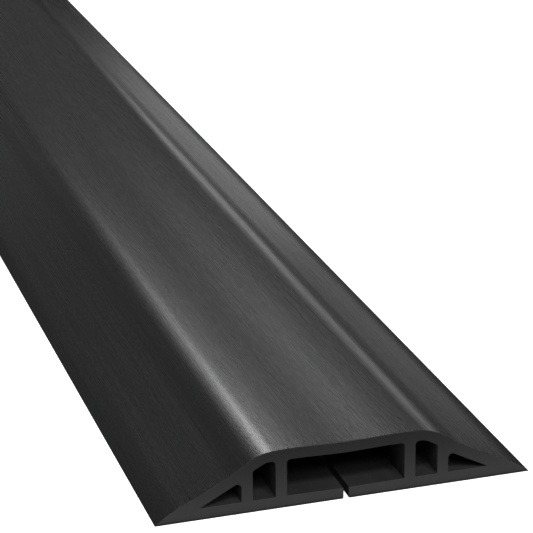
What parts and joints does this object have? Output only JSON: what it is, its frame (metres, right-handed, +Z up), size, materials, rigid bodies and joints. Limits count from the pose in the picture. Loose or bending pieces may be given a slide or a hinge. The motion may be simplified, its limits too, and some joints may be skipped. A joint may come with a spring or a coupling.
{
  "type": "floor cable cover",
  "caption": "Low-profile floor cable cover: a long flexible black rubber extrusion with sloped sides, a dished crown, hollow cable channels and a slit base.",
  "frame": {"origin": "middle of the base, on the floor, half way along the cover", "axes": "+X across the cover, +Y along it away from the end that is seen first, +Z up from the floor"},
  "size_m": [0.076, 0.915, 0.0122],
  "materials": {
    "black_rubber": "satin charcoal black, with fine lengthwise extrusion streaks on the outer faces and plain matte cut ends"
  },
  "bodies": {
    "crown_deck": {"crown_deck": "black_rubber"},
    "left_side": {"left_crown_wing": "black_rubber", "left_inner_web": "black_rubber", "left_shoulder": "black_rubber", "left_outer_web": "black_rubber", "left_ramp_plate": "black_rubber", "left_base_strip": "black_rubber"},
    "right_side": {"right_crown_wing": "black_rubber", "right_inner_web": "black_rubber", "right_shoulder": "black_rubber", "right_outer_web": "black_rubber", "right_ramp_plate": "black_rubber", "right_base_strip": "black_rubber"},
    "left_floor_flap": {"left_floor_flap": "black_rubber"},
    "right_floor_flap": {"right_floor_flap": "black_rubber"}
  },
  "joints": [
    {"name": "left_side_fold", "type": "hinge", "parent": "crown_deck", "child": "left_side", "pos_m": [-0.0045, 0, 0.01202], "axis": [0, 1, 0], "range_deg": [0, 35], "stiffness_Nm_per_rad": 1.6},
    {"name": "right_side_fold", "type": "hinge", "parent": "crown_deck", "child": "right_side", "pos_m": [0.0045, 0, 0.01202], "axis": [0, -1, 0], "range_deg": [0, 35], "stiffness_Nm_per_rad": 1.6},
    {"name": "left_flap_bend", "type": "hinge", "parent": "left_side", "child": "left_floor_flap", "pos_m": [-0.00942, 0, 0.0012], "axis": [0, -1, 0], "range_deg": [0, 45], "stiffness_Nm_per_rad": 3},
    {"name": "right_flap_bend", "type": "hinge", "parent": "right_side", "child": "right_floor_flap", "pos_m": [0.00942, 0, 0.0012], "axis": [0, 1, 0], "range_deg": [0, 45], "stiffness_Nm_per_rad": 3}
  ]
}
